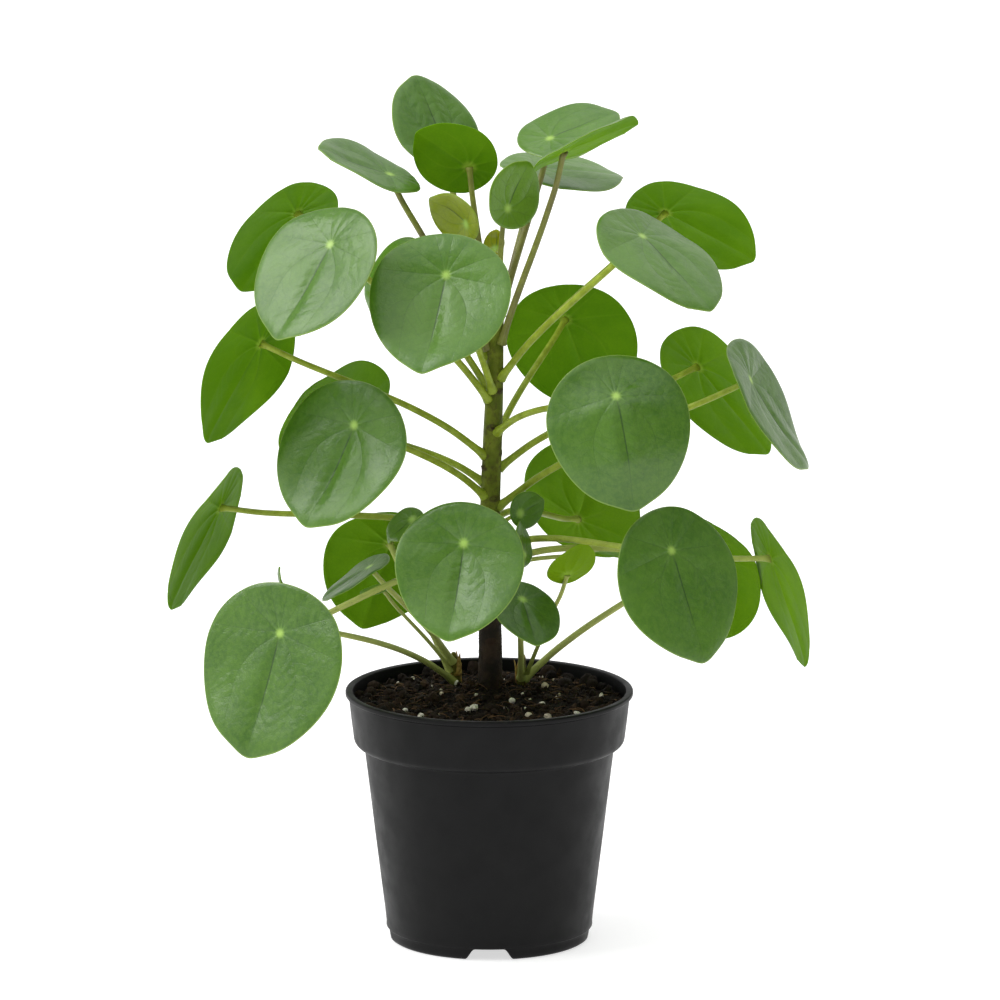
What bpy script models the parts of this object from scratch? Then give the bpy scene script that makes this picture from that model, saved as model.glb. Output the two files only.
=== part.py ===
"""A Chinese money plant (Pilea peperomioides) standing in its round nursery pot.

The pot is a turned shell, the soil fills it, and the soil holds the main stem and two
offset shoots. Every leaf is one grown piece: a round, slightly domed blade carried
under its belly by a long leaf stalk. Lengths in this file are written in millimetres
and multiplied by MM, so that the scene itself is in metres.

The origin is on the pot's axis, on the surface that the pot stands on. +Z is up and
the front of the plant looks towards -Y.
"""
import math
from collections import namedtuple

import bmesh
import bpy
from mathutils import Vector

MM = 0.001
GAP = 0.3  # clearance between two pieces that touch

# Pot: outside radii and heights
POT_HEIGHT = 106.0
RIM_RADIUS = 60.0
RIM_LIP_HEIGHT = 1.6
RIM_EDGE = 0.4
BAND_TOP_RADIUS = 58.6
BAND_FOOT_RADIUS = 56.6
BAND_HEIGHT = 19.5
BODY_TOP_RADIUS = 52.2
BODY_TOP_HEIGHT = 82.5
BODY_FOOT_RADIUS = 42.8
FOOT_HEIGHT = 5.0
FOOT_RADIUS = 42.3
FOOT_ROUND = 2.2
FOOT_WIDTH = 4.0
FOOT_STEP = 0.6  # height of the slope from the foot ring out to the body
WALL = 1.5
INNER_STEP_HIGH = 1.0  # how far the inside step lies above the outside one, at the band
INNER_STEP_LOW = 0.5  # and at the top of the body
POT_SIDES = 48

# Foot ring notches and drain holes
NOTCH_COUNT = 4
NOTCH_HEIGHT = 4.7
NOTCH_WIDTH_LOW = 21.0
NOTCH_WIDTH_HIGH = 12.5
DRAIN_RADIUS = 4.5
DRAIN_CIRCLE = 27.0
DRAIN_SIDES = 12
CUT_MARGIN = 2.0  # how far a cutter runs past the face that it cuts

# Soil
SOIL_EDGE_HEIGHT = 101.0
SOIL_MOUND = 5.0
SOIL_MOUND_SPREAD = 19.0
SOIL_SIDES = POT_SIDES
SOIL_CLEARANCE = GAP + 0.15  # level gap to the wall, a little over GAP because both are many-sided
SOIL_STEP_CLEARANCE = 0.5  # height gap at the wall's inside step
SOIL_EDGE_BAND = 12.0  # the lumps fade out over this distance to the wall
SOIL_RINGS = (0.86, 0.70, 0.54, 0.38, 0.22)  # rings of the soil's surface, as shares of its radius
SOIL_LUMPS = [(0.31, 0.27, 0.5), (0.35, -0.24, 0.4), (0.17, -0.41, 0.35)]  # waves along x, along y, height

# Stems: each is a list of (x, y, height, radius) stations from the buried end to the tip
MAIN_STEM = [
    (0, 8, 80, 5.0),
    (0, 8, 104, 5.2),
    (0.5, 8, 120, 5.0),
    (0, 8, 150, 4.6),
    (0.5, 8, 185, 4.3),
    (1.5, 8, 215, 4.1),
    (2.5, 8, 245, 3.6),
    (3, 8, 268, 2.9),
    (3, 8, 284, 1.8),
]
LEFT_SHOOT = [(-14, 26, 90, 2.1), (-14, 26, 103, 2.3), (-14.5, 25.5, 110, 2.1), (-15, 25, 115, 1.4)]
RIGHT_SHOOT = [(13, 22, 90, 2.1), (13, 22, 103, 2.3), (13.5, 21.5, 110, 2.1), (14, 21, 115, 1.4)]
STEM_SIDES = 12
SHOOT_SIDES = 8
STEM_TIP_TAPER = 0.55  # a stem ends in a short cone: the cone's end radius, as a share
STEM_TIP_RISE = 0.8  # and its height, as a share of the last radius

# Blade: proportions shared by every leaf, as shares of the blade's length
HUB_SHARE = 0.27  # how far the stalk joins from the blunt end
WIDTH_SHARE = 0.92
BLUNT_END = 0.12  # how much wider the blunt half is than the tip half
TIP_POINT = 0.03
TIP_POINT_SPREAD = 0.22
DOME = 0.10
BLADE_THICKNESS = 0.8
MARGIN_THICKNESS = 0.45
OUTLINE_POINTS = 20
INNER_RING = 0.52

# Leaf stalk
STALK_SIDES = 6
STALK_STEPS = 6
STALK_BASE_RADIUS = 1.8
STALK_TOP_RADIUS = 1.4
STALK_HANDLE = 0.33  # length of the curve's handles as a share of the stalk's reach
STALK_ARCH = 0.38  # how much a level stalk first climbs
STALK_HOOK = 0.22  # how much a stalk turns up into the underside of its blade
SMALL_LEAF = 40.0  # a leaf shorter than this has a thinner stalk
THINNEST_STALK = 0.35  # thickness that the stalk of a very small leaf tends to, as a share

# on: the stem that carries the leaf; height: where its stalk leaves that stem
# hub: where the stalk meets the blade; azimuth and tilt: where the upper side looks,
#   azimuth 0 to the front and 90 to the right, tilt 90 straight up
# turn: 0 where the tip points down the slope of the blade, turning counter-clockwise
Leaf = namedtuple("Leaf", "name on height hub azimuth tilt turn length")

LEAVES = [
    Leaf("leaf_top_back", "main_stem", 256, (-18, 40, 329), 41, 35, 178, 47),
    Leaf("leaf_top_turned", "main_stem", 264, (-8, 14, 325), 170, 22, 130, 37),
    Leaf("leaf_top_left", "main_stem", 250, (-40, 5, 325), 77, 61, -148, 46),
    Leaf("leaf_young_upright", "main_stem", 274, (8, -8, 311), 40, 5, 150, 29),
    Leaf("leaf_young_folded", "main_stem", 269, (-11, -2, 302), -32, -20, -128, 25),
    Leaf("leaf_bud", "main_stem", 285, (1.5, 7, 291.5), -30, 15, 180, 11),
    Leaf("leaf_top_right", "main_stem", 264, (25, 32, 334), -27, 66, 146, 45),
    Leaf("leaf_top_right_front", "main_stem", 253, (30, -14, 337), -120, 57, -125, 48),
    Leaf("leaf_top_right_back", "main_stem", 257, (20, 58, 317), 46, 80, 63, 53),
    Leaf("leaf_upper_right_back", "main_stem", 237, (74, 55, 299), 163, 40, -55, 58),
    Leaf("leaf_upper_right", "main_stem", 238, (63, -35, 305), 52, 58, -2, 61),
    Leaf("leaf_upper_left_back", "main_stem", 246, (-81, 42, 301), -142, 34, 19, 58),
    Leaf("leaf_upper_left", "main_stem", 229, (-66, -50, 305), -37, 40, -8, 62),
    Leaf("leaf_upper_front", "main_stem", 233, (-18, -55, 294), -8, 40, -7, 63),
    Leaf("leaf_upper_shaded", "main_stem", 234, (-33, -2, 278), -52, 16, -77, 45),
    Leaf("leaf_middle_back", "main_stem", 212, (32, 60, 252), 172, 20, -16, 60),
    Leaf("leaf_far_left_upper", "main_stem", 205, (-95, -28, 259), -127, 20, 29, 63),
    Leaf("leaf_middle_left_back", "main_stem", 193, (-62, 25, 215), -138, 31, 130, 60),
    Leaf("leaf_middle_left", "main_stem", 188, (-57, -42, 228), -28, 28, -14, 63),
    Leaf("leaf_middle_right", "main_stem", 215, (51, -70, 244), 8, 21, 8, 64),
    Leaf("leaf_far_right_back", "main_stem", 199, (88, 35, 237), 135, 26, -34, 63),
    Leaf("leaf_far_right", "main_stem", 183, (110, -12, 241), 76, 32, 13, 62),
    Leaf("leaf_far_left", "main_stem", 168, (-113, 0, 184), -112, 23, 28, 64),
    Leaf("leaf_low_left", "main_stem", 158, (-87, -65, 145), -30, 19, -8, 72),
    Leaf("leaf_low_left_back", "left_shoot", 106, (-42, 45, 159), -175, 21, 15, 56),
    Leaf("leaf_low_front", "main_stem", 163, (-11, -66, 184), -9, 31, -4, 58),
    Leaf("leaf_low_right_back", "main_stem", 177, (38, 62, 166), 152, 18, -156, 60),
    Leaf("leaf_low_right", "main_stem", 165, (75, -63, 179), 37, 23, 6, 65),
    Leaf("leaf_low_right_behind", "right_shoot", 106, (92, 28, 160), 139, 20, 8, 59),
    Leaf("leaf_low_far_right", "main_stem", 159, (118, -8, 164), 108, 17, -24, 64),
    Leaf("leaf_low_edge", "main_stem", 155, (46, 18, 163), 160, 62, -60, 20),
    Leaf("leaf_small_left", "main_stem", 170, (-32, -20, 183), -35, 45, -30, 18),
    Leaf("leaf_small_left_edge", "main_stem", 176, (-39, -12, 179), -80, 25, 20, 12),
    Leaf("leaf_small_right", "main_stem", 174, (13, -5, 182), 31, 5, 111, 17),
    Leaf("leaf_small_right_edge", "main_stem", 159, (15, -20, 168), 70, 10, 180, 19),
    Leaf("leaf_shoot_hidden", "left_shoot", 104.5, (-83, -38, 142), -90, -15, 175, 34),
    Leaf("leaf_shoot_flat", "left_shoot", 113, (-50, -15, 162), -84, 59, -6, 33),
    Leaf("leaf_shoot_small", "left_shoot", 109, (-45, 12, 147), -60, 75, 0, 14),
    Leaf("leaf_shoot_round", "right_shoot", 107, (14, -28, 151), 36, 53, -15, 34),
    Leaf("leaf_shoot_curled", "right_shoot", 111, (32, -20, 160), -156, 39, -164, 23),
]

# Colours (linear RGB) and roughness of each kind of piece
LOOKS = {
    "pot_plastic": ((0.022, 0.022, 0.023), 0.42),
    "soil": ((0.018, 0.011, 0.008), 0.95),
    "stem_bark": ((0.085, 0.075, 0.030), 0.70),
    "shoot_bark": ((0.110, 0.080, 0.035), 0.65),
    "leaf": ((0.075, 0.190, 0.035), 0.38),
}


def clear_scene():
    for obj in list(bpy.data.objects):
        bpy.data.objects.remove(obj, do_unlink=True)


def material(name):
    colour, roughness = LOOKS[name]
    made = bpy.data.materials.get(name) or bpy.data.materials.new(name)
    made.use_nodes = True
    shader = made.node_tree.nodes["Principled BSDF"]
    shader.inputs["Base Color"].default_value = (*colour, 1.0)
    shader.inputs["Roughness"].default_value = roughness
    shader.inputs["Metallic"].default_value = 0.0
    return made


def object_from(bm, name, look):
    """Turn a finished bmesh (in millimetres) into a smooth-shaded object in metres."""
    bmesh.ops.scale(bm, vec=(MM, MM, MM), verts=bm.verts)
    mesh = bpy.data.meshes.new(name)
    bm.to_mesh(mesh)
    bm.free()
    mesh.shade_smooth()
    mesh.set_sharp_from_angle(angle=math.radians(40))
    mesh.materials.append(material(look))
    obj = bpy.data.objects.new(name, mesh)
    bpy.context.scene.collection.objects.link(obj)
    return obj


def ring_of(bm, points):
    return [bm.verts.new(point) for point in points]


def join_rings(bm, lower, upper):
    """Quads between two rings of the same count, facing outwards when the rings turn
    counter-clockwise seen from the side of the upper ring."""
    count = len(lower)
    for i in range(count):
        j = (i + 1) % count
        bm.faces.new((lower[i], lower[j], upper[j], upper[i]))


def circle(radius, height, sides, centre=(0.0, 0.0)):
    turn = 2 * math.pi / sides
    return [
        Vector((centre[0] + radius * math.cos(i * turn), centre[1] + radius * math.sin(i * turn), height))
        for i in range(sides)
    ]


def rounded(centre_radius, centre_height, radius, start, end, steps):
    """Profile points of an arc, angles in degrees from straight outwards."""
    points = []
    for i in range(steps + 1):
        angle = math.radians(start + (end - start) * i / steps)
        points.append((centre_radius + radius * math.cos(angle), centre_height + radius * math.sin(angle)))
    return points


# ---------------------------------------------------------------------- pot


def pot_outline():
    """The turned profile, from the foot's inner edge round the outside to the inside floor."""
    band_foot = POT_HEIGHT - BAND_HEIGHT
    step_round = BAND_FOOT_RADIUS - BODY_TOP_RADIUS
    outline = [(FOOT_RADIUS - FOOT_WIDTH, FOOT_HEIGHT), (FOOT_RADIUS - FOOT_WIDTH, 0.0)]
    outline += rounded(FOOT_RADIUS - FOOT_ROUND, FOOT_ROUND, FOOT_ROUND, -90, 0, 2)
    outline += [(FOOT_RADIUS, FOOT_HEIGHT), (BODY_FOOT_RADIUS, FOOT_HEIGHT + FOOT_STEP)]
    outline += [(BODY_TOP_RADIUS, BODY_TOP_HEIGHT)]
    outline += rounded(BODY_TOP_RADIUS, band_foot, step_round, -70, 0, 3)
    outline += [(BAND_TOP_RADIUS, POT_HEIGHT - RIM_LIP_HEIGHT - RIM_EDGE)]
    outline += [(RIM_RADIUS, POT_HEIGHT - RIM_LIP_HEIGHT), (RIM_RADIUS, POT_HEIGHT - RIM_EDGE)]
    outline += [(RIM_RADIUS - RIM_EDGE, POT_HEIGHT), (BAND_TOP_RADIUS - WALL + RIM_EDGE, POT_HEIGHT)]
    outline += [(BAND_TOP_RADIUS - WALL, POT_HEIGHT - RIM_EDGE)]
    outline += [(BAND_FOOT_RADIUS - WALL, band_foot + INNER_STEP_HIGH)]
    outline += [(BODY_TOP_RADIUS - WALL, BODY_TOP_HEIGHT + INNER_STEP_LOW)]
    outline += [(inner_foot_radius(), floor_top())]
    return outline


def floor_top():
    return FOOT_HEIGHT + WALL


def inner_foot_radius():
    return BODY_FOOT_RADIUS - WALL


def pot_inner_radius(height):
    """The inside radius of the pot at a height above its floor."""
    if height < BODY_TOP_HEIGHT:
        share = (height - floor_top()) / (BODY_TOP_HEIGHT - floor_top())
        return inner_foot_radius() + share * (BODY_TOP_RADIUS - BODY_FOOT_RADIUS)
    band_foot = POT_HEIGHT - BAND_HEIGHT
    if height < band_foot + INNER_STEP_HIGH:
        return BODY_TOP_RADIUS - WALL
    share = (height - band_foot) / BAND_HEIGHT
    return BAND_FOOT_RADIUS - WALL + share * (BAND_TOP_RADIUS - BAND_FOOT_RADIUS)


def build_pot():
    bm = bmesh.new()
    rings = [ring_of(bm, circle(radius, height, POT_SIDES)) for radius, height in pot_outline()]
    for lower, upper in zip(rings, rings[1:]):
        join_rings(bm, lower, upper)
    bm.faces.new(reversed(rings[0]))
    bm.faces.new(rings[-1])
    pot = object_from(bm, "nursery_pot", "pot_plastic")
    for number in range(NOTCH_COUNT):
        angle = 2 * math.pi * number / NOTCH_COUNT
        cut(pot, notch_cutter(f"cutter_notch_{number}", angle))
        cut(pot, drain_cutter(f"cutter_drain_{number}", angle))
    return pot


def notch_cutter(name, angle):
    """A prism with a trapezoid section that runs out through the foot ring."""
    bm = bmesh.new()
    low, high = NOTCH_WIDTH_LOW / 2, NOTCH_WIDTH_HIGH / 2
    section = [(-low, -CUT_MARGIN), (low, -CUT_MARGIN), (high, NOTCH_HEIGHT), (-high, NOTCH_HEIGHT)]
    near, far = FOOT_RADIUS - FOOT_WIDTH - 3 * CUT_MARGIN, BODY_FOOT_RADIUS + CUT_MARGIN
    inner = ring_of(bm, [(side, -near, height) for side, height in section])
    outer = ring_of(bm, [(side, -far, height) for side, height in section])
    join_rings(bm, inner, outer)
    bm.faces.new(reversed(inner))
    bm.faces.new(outer)
    bmesh.ops.recalc_face_normals(bm, faces=bm.faces)
    cutter = object_from(bm, name, "pot_plastic")
    cutter.rotation_euler = (0, 0, angle)
    return cutter


def drain_cutter(name, angle):
    bm = bmesh.new()
    centre = (DRAIN_CIRCLE * math.sin(angle), -DRAIN_CIRCLE * math.cos(angle))
    low = ring_of(bm, circle(DRAIN_RADIUS, FOOT_HEIGHT - CUT_MARGIN, DRAIN_SIDES, centre))
    high = ring_of(bm, circle(DRAIN_RADIUS, floor_top() + CUT_MARGIN, DRAIN_SIDES, centre))
    join_rings(bm, low, high)
    bm.faces.new(reversed(low))
    bm.faces.new(high)
    return object_from(bm, name, "pot_plastic")


def cut(obj, cutter):
    cutter.hide_render = True
    cutter.display_type = "WIRE"
    modifier = obj.modifiers.new(cutter.name, "BOOLEAN")
    modifier.operation = "DIFFERENCE"
    modifier.solver = "EXACT"
    modifier.object = cutter


# --------------------------------------------------------------------- soil


def soil_height(x, y):
    """The soil's surface: level at the wall, heaped round the stem, and a little lumpy."""
    stem_x, stem_y = MAIN_STEM[0][:2]
    away = math.hypot(x - stem_x, y - stem_y)
    lumps = sum(size * math.sin(along_x * x + along_y * y) for along_x, along_y, size in SOIL_LUMPS)
    inside = min(1.0, (pot_inner_radius(SOIL_EDGE_HEIGHT) - math.hypot(x, y)) / SOIL_EDGE_BAND)
    heap = SOIL_MOUND * math.exp(-((away / SOIL_MOUND_SPREAD) ** 2))
    return SOIL_EDGE_HEIGHT + heap + inside * lumps


def build_soil():
    bm = bmesh.new()
    step_low = BODY_TOP_HEIGHT + INNER_STEP_LOW + SOIL_STEP_CLEARANCE
    step_high = POT_HEIGHT - BAND_HEIGHT + INNER_STEP_HIGH + 2 * SOIL_STEP_CLEARANCE
    side = [floor_top() + GAP, step_low, step_high, SOIL_EDGE_HEIGHT]
    rings = [ring_of(bm, circle(pot_inner_radius(h) - SOIL_CLEARANCE, h, SOIL_SIDES)) for h in side]
    outer = pot_inner_radius(SOIL_EDGE_HEIGHT) - SOIL_CLEARANCE
    for share in SOIL_RINGS:
        flat = circle(outer * share, 0.0, SOIL_SIDES)
        rings.append(ring_of(bm, [(p.x, p.y, soil_height(p.x, p.y)) for p in flat]))
    for lower, upper in zip(rings, rings[1:]):
        join_rings(bm, lower, upper)
    bm.faces.new(reversed(rings[0]))
    top = bm.verts.new((0, 0, soil_height(0, 0)))
    last = rings[-1]
    for i in range(SOIL_SIDES):
        bm.faces.new((last[i], last[(i + 1) % SOIL_SIDES], top))
    soil = object_from(bm, "potting_soil", "soil")
    for name, stations, sides in stems():
        cut(soil, stem_pocket(f"cutter_{name}", stations, sides))
    return soil


def stem_pocket(name, stations, sides):
    """The hollow that a stem's buried end stands in, GAP wider than the stem all round."""
    x, y, height, _ = stations[0]
    radius = max(station[3] for station in stations) + SOIL_CLEARANCE
    bm = bmesh.new()
    low = ring_of(bm, circle(radius, height - GAP, sides, (x, y)))
    high = ring_of(bm, circle(radius, SOIL_EDGE_HEIGHT + SOIL_MOUND + CUT_MARGIN, sides, (x, y)))
    join_rings(bm, low, high)
    bm.faces.new(reversed(low))
    bm.faces.new(high)
    return object_from(bm, name, "soil")


# -------------------------------------------------------------------- stems


def stems():
    return [
        ("main_stem", MAIN_STEM, STEM_SIDES),
        ("left_shoot", LEFT_SHOOT, SHOOT_SIDES),
        ("right_shoot", RIGHT_SHOOT, SHOOT_SIDES),
    ]


def stem_at(stations, height):
    """The stem's centre and radius at a height, between the two stations around it."""
    for low, high in zip(stations, stations[1:]):
        if height <= high[2]:
            share = max(0.0, (height - low[2]) / (high[2] - low[2]))
            x, y, _, radius = (a + share * (b - a) for a, b in zip(low, high))
            return Vector((x, y, height)), radius
    x, y, _, radius = stations[-1]
    return Vector((x, y, height)), radius


def build_stem(name, stations, sides, look):
    bm = bmesh.new()
    rings = [ring_of(bm, circle(radius, height, sides, (x, y))) for x, y, height, radius in stations]
    x, y, height, radius = stations[-1]
    rings.append(ring_of(bm, circle(radius * STEM_TIP_TAPER, height + radius * STEM_TIP_RISE, sides, (x, y))))
    for lower, upper in zip(rings, rings[1:]):
        join_rings(bm, lower, upper)
    bm.faces.new(reversed(rings[0]))
    bm.faces.new(rings[-1])
    return object_from(bm, name, look)


# ------------------------------------------------------------------- leaves


def blade_axes(leaf):
    """Unit vectors of a leaf: out of its upper side, towards its tip, and across."""
    azimuth, tilt, turn = (math.radians(a) for a in (leaf.azimuth, leaf.tilt, leaf.turn))
    outward = Vector((math.sin(azimuth), -math.cos(azimuth), 0.0))
    normal = outward * math.cos(tilt) + Vector((0, 0, 1)) * math.sin(tilt)
    downhill = outward * math.sin(tilt) - Vector((0, 0, 1)) * math.cos(tilt)
    side = normal.cross(downhill)
    tip = downhill * math.cos(turn) + side * math.sin(turn)
    return normal, tip, normal.cross(tip)


def blade_ring(leaf, share, below):
    """One ring of the blade, a share of the way from the hub to the margin, set below
    the upper side. The outline is a near-circle with a short point at the tip."""
    normal, tip, across = blade_axes(leaf)
    points = []
    for i in range(OUTLINE_POINTS):
        angle = 2 * math.pi * i / OUTLINE_POINTS
        from_tip = min(angle, 2 * math.pi - angle)
        point = TIP_POINT * math.exp(-((from_tip / TIP_POINT_SPREAD) ** 2)) - TIP_POINT / 2
        along = share * (0.5 * math.cos(angle) + point + 0.5 - HUB_SHARE)
        wide = share * 0.5 * WIDTH_SHARE * math.sin(angle) * (1 - BLUNT_END * math.cos(angle))
        drop = DOME * (along * along + wide * wide)
        offset = tip * along + across * wide - normal * drop
        points.append(Vector(leaf.hub) + offset * leaf.length - normal * below)
    return points


def stalk_path(leaf, stations):
    """Bezier points of the leaf stalk, from the stem's bark to the blade's underside, and
    the level direction in which it leaves the stem."""
    normal, _, _ = blade_axes(leaf)
    centre, radius = stem_at(stations, leaf.height)
    hub = Vector(leaf.hub) - normal * BLADE_THICKNESS
    level = Vector((hub.x - centre.x, hub.y - centre.y, 0.0)).normalized()
    start = centre + level * (radius + GAP)
    reach = (hub - start).length
    straight = (hub - start).normalized()
    flatness = straight.dot(level)
    leave = straight + Vector((0, 0, STALK_ARCH * flatness))
    arrive = straight + normal * STALK_HOOK
    first = start + leave.normalized() * STALK_HANDLE * reach
    second = hub - arrive.normalized() * STALK_HANDLE * reach
    path = []
    for i in range(STALK_STEPS + 1):
        t = i / STALK_STEPS
        s = 1 - t
        path.append(s**3 * start + 3 * s * s * t * first + 3 * s * t * t * second + t**3 * hub)
    return path, level


def stalk_rings(leaf, stations):
    """Six-sided rings along the stalk. The first one is shaped to the round stem."""
    path, level = stalk_path(leaf, stations)
    normal, tip, _ = blade_axes(leaf)
    scale = min(1.0, THINNEST_STALK + (1 - THINNEST_STALK) * leaf.length / SMALL_LEAF)
    rings = []
    for i, point in enumerate(path):
        before = path[max(0, i - 1)]
        after = path[min(len(path) - 1, i + 1)]
        direction = (after - before).normalized()
        if i == 0:
            direction = level
        if i == len(path) - 1:
            direction = normal
        # Both ends and every step share one reference direction, so the tube doesn't twist.
        reference = tip - direction * tip.dot(direction)
        side = reference.normalized()
        up = direction.cross(side)
        share = i / (len(path) - 1)
        radius = scale * (STALK_BASE_RADIUS + share * (STALK_TOP_RADIUS - STALK_BASE_RADIUS))
        ring = []
        for k in range(STALK_SIDES):
            angle = 2 * math.pi * k / STALK_SIDES
            ring.append(point + (side * math.cos(angle) + up * math.sin(angle)) * radius)
        rings.append(ring)
    rings[0] = [on_bark(point, stations) for point in rings[0]]
    return rings


def on_bark(point, stations):
    """Move a point level, away from the stem's axis, until it clears the bark by GAP."""
    centre, radius = stem_at(stations, point.z)
    level = Vector((point.x - centre.x, point.y - centre.y, 0.0))
    return centre + level.normalized() * (radius + GAP)


def bridge_to_stalk(bm, blade, stalk):
    """Triangles between the blade's inner underside ring and the stalk's last ring."""
    count, sides = len(blade), len(stalk)
    nearest = [min(range(sides), key=lambda k: (blade[i].co - stalk[k].co).length) for i in range(count)]
    for i in range(count):
        j = (i + 1) % count
        bm.faces.new((blade[i], blade[j], stalk[nearest[i]]))
        step = nearest[i]
        while step != nearest[j]:
            following = (step + 1) % sides if (nearest[j] - step) % sides <= sides / 2 else (step - 1) % sides
            bm.faces.new((blade[j], stalk[following], stalk[step]))
            step = following


def build_leaf(leaf):
    stations = {name: stations for name, stations, _ in stems()}[leaf.on]
    bm = bmesh.new()
    hub = bm.verts.new(leaf.hub)
    inner_top = ring_of(bm, blade_ring(leaf, INNER_RING, 0.0))
    margin_top = ring_of(bm, blade_ring(leaf, 1.0, 0.0))
    margin_low = ring_of(bm, blade_ring(leaf, 1.0, MARGIN_THICKNESS))
    inner_low = ring_of(bm, blade_ring(leaf, INNER_RING, BLADE_THICKNESS))
    stalk = [ring_of(bm, ring) for ring in reversed(stalk_rings(leaf, stations))]
    for i in range(OUTLINE_POINTS):
        bm.faces.new((hub, inner_top[i], inner_top[(i + 1) % OUTLINE_POINTS]))
    join_rings(bm, margin_top, inner_top)
    join_rings(bm, margin_low, margin_top)
    join_rings(bm, inner_low, margin_low)
    bridge_to_stalk(bm, inner_low, stalk[0])
    for upper, lower in zip(stalk, stalk[1:]):
        join_rings(bm, lower, upper)
    bm.faces.new(stalk[-1])
    bmesh.ops.recalc_face_normals(bm, faces=bm.faces)
    return object_from(bm, leaf.name, "leaf")


def main():
    clear_scene()
    build_pot()
    build_soil()
    for name, stations, sides in stems():
        build_stem(name, stations, sides, "stem_bark" if name == "main_stem" else "shoot_bark")
    for leaf in LEAVES:
        build_leaf(leaf)


main()
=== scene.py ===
# %% [markdown]
# # A Chinese money plant in its nursery pot
#
# The plant is a pilea: round leaves like coins, each one carried on a long thin stalk
# that meets the leaf under its belly and not at its edge. It grows from one thick stem,
# with two small shoots at its foot, in a plain black plastic nursery pot.
#
# Every surface here is worked out with numpy as a grid of points: a leaf is a polar grid,
# a stem is a circle carried along a line, the pot is a profile turned round an axis. The
# CAD frame gives the place and size of each piece, and this script gives it its looks.

import math

import bmesh
import bpy
import numpy as np
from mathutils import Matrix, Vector


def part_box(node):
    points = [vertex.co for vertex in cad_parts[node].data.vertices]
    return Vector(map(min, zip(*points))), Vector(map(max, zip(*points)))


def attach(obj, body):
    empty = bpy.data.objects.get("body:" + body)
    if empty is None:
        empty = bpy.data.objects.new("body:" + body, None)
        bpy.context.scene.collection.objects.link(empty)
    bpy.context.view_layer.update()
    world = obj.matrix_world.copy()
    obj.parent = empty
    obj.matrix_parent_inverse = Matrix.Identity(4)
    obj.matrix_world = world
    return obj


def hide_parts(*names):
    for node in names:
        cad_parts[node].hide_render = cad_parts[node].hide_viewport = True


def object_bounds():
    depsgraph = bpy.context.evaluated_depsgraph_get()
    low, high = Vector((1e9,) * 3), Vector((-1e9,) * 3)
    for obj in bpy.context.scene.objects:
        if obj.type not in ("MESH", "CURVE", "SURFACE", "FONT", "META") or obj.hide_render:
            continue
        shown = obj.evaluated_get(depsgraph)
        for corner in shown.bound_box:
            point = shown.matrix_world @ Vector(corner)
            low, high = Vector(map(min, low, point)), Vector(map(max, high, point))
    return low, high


MM = 0.001
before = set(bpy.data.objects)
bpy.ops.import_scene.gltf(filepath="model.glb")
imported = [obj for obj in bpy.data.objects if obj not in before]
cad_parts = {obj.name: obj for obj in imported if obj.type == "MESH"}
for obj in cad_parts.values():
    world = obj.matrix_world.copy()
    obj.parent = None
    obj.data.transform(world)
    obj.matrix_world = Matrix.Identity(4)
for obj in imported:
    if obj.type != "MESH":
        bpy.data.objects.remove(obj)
cad_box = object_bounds()
leaf_names = sorted(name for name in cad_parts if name.startswith("leaf_"))
print(f"{len(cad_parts)} CAD nodes, of which {len(leaf_names)} are leaves")


# %% [markdown]
# ## From points to pieces
#
# A grid of points becomes a mesh when each square of four neighbours gets a face. The
# helper below works out all of those faces at once from the row and column numbers. When
# the columns run round a closed ring, the last column joins the first, so there is no
# seam. A pole is one point that closes a ring with a fan of triangles.

# %% Faces of a grid, and a fan at a pole
def turns(count):
    """Angles of equal steps once round, in radians."""
    return np.linspace(0, 2 * math.pi, count, endpoint=False)


def grid_faces(rows, columns, start=0):
    """Quads of a closed grid. Point (i, j) has the number start + i * columns + j, and the
    quad at (i, j) joins it to its neighbours (i, j+1), (i+1, j+1) and (i+1, j)."""
    i = np.arange(rows - 1)[:, None] * columns
    j = np.arange(columns)[None, :]
    k = (j + 1) % columns
    return start + np.stack([i + j, i + k, i + columns + k, i + columns + j], -1).reshape(-1, 4)


def fan_faces(pole, first, columns, outward):
    """Triangles from one pole point to a ring of points that starts at number first. They
    turn the other way when outward is False."""
    j = np.arange(columns)
    a, b = first + j, first + (j + 1) % columns
    return np.stack([np.full(columns, pole), *((a, b) if outward else (b, a))], -1)


def capped(rings, start=0, poles=None):
    """Points, quads and triangles of a closed tube made of rings. Its two poles come last:
    they are the middles of the end rings, unless they are given."""
    rows, columns = rings.shape[:2]
    end = start + rows * columns
    poles = [rings[0].mean(0), rings[-1].mean(0)] if poles is None else poles
    low, high = fan_faces(end, start, columns, False), fan_faces(end + 1, end - columns, columns, True)
    points = np.concatenate([rings.reshape(-1, 3), poles])
    return points, grid_faces(rows, columns, start), np.concatenate([low, high])


# %% A mesh object from arrays
def new_piece(name, points, quads, triangles, materials, looks=None, fields=None, smooth=True):
    """A mesh object at the origin. looks holds a material number for each face, quads
    first, and fields holds one number or one vector for each point, by name."""
    mesh = bpy.data.meshes.new(name)
    mesh.from_pydata(points.tolist(), [], quads.tolist() + triangles.tolist())
    for material in materials:
        mesh.materials.append(material)
    if looks is not None:
        mesh.polygons.foreach_set("material_index", np.asarray(looks, np.int32))
    for field, values in (fields or {}).items():
        kind = ("FLOAT", "value") if np.ndim(values) == 1 else ("FLOAT_VECTOR", "vector")
        attribute = mesh.attributes.new(field, kind[0], "POINT")
        attribute.data.foreach_set(kind[1], np.asarray(values, np.float32).ravel())
    mesh.polygons.foreach_set("use_smooth", np.full(len(mesh.polygons), smooth))
    mesh.update()
    piece = bpy.data.objects.new(name, mesh)
    bpy.context.scene.collection.objects.link(piece)
    return piece


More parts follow.
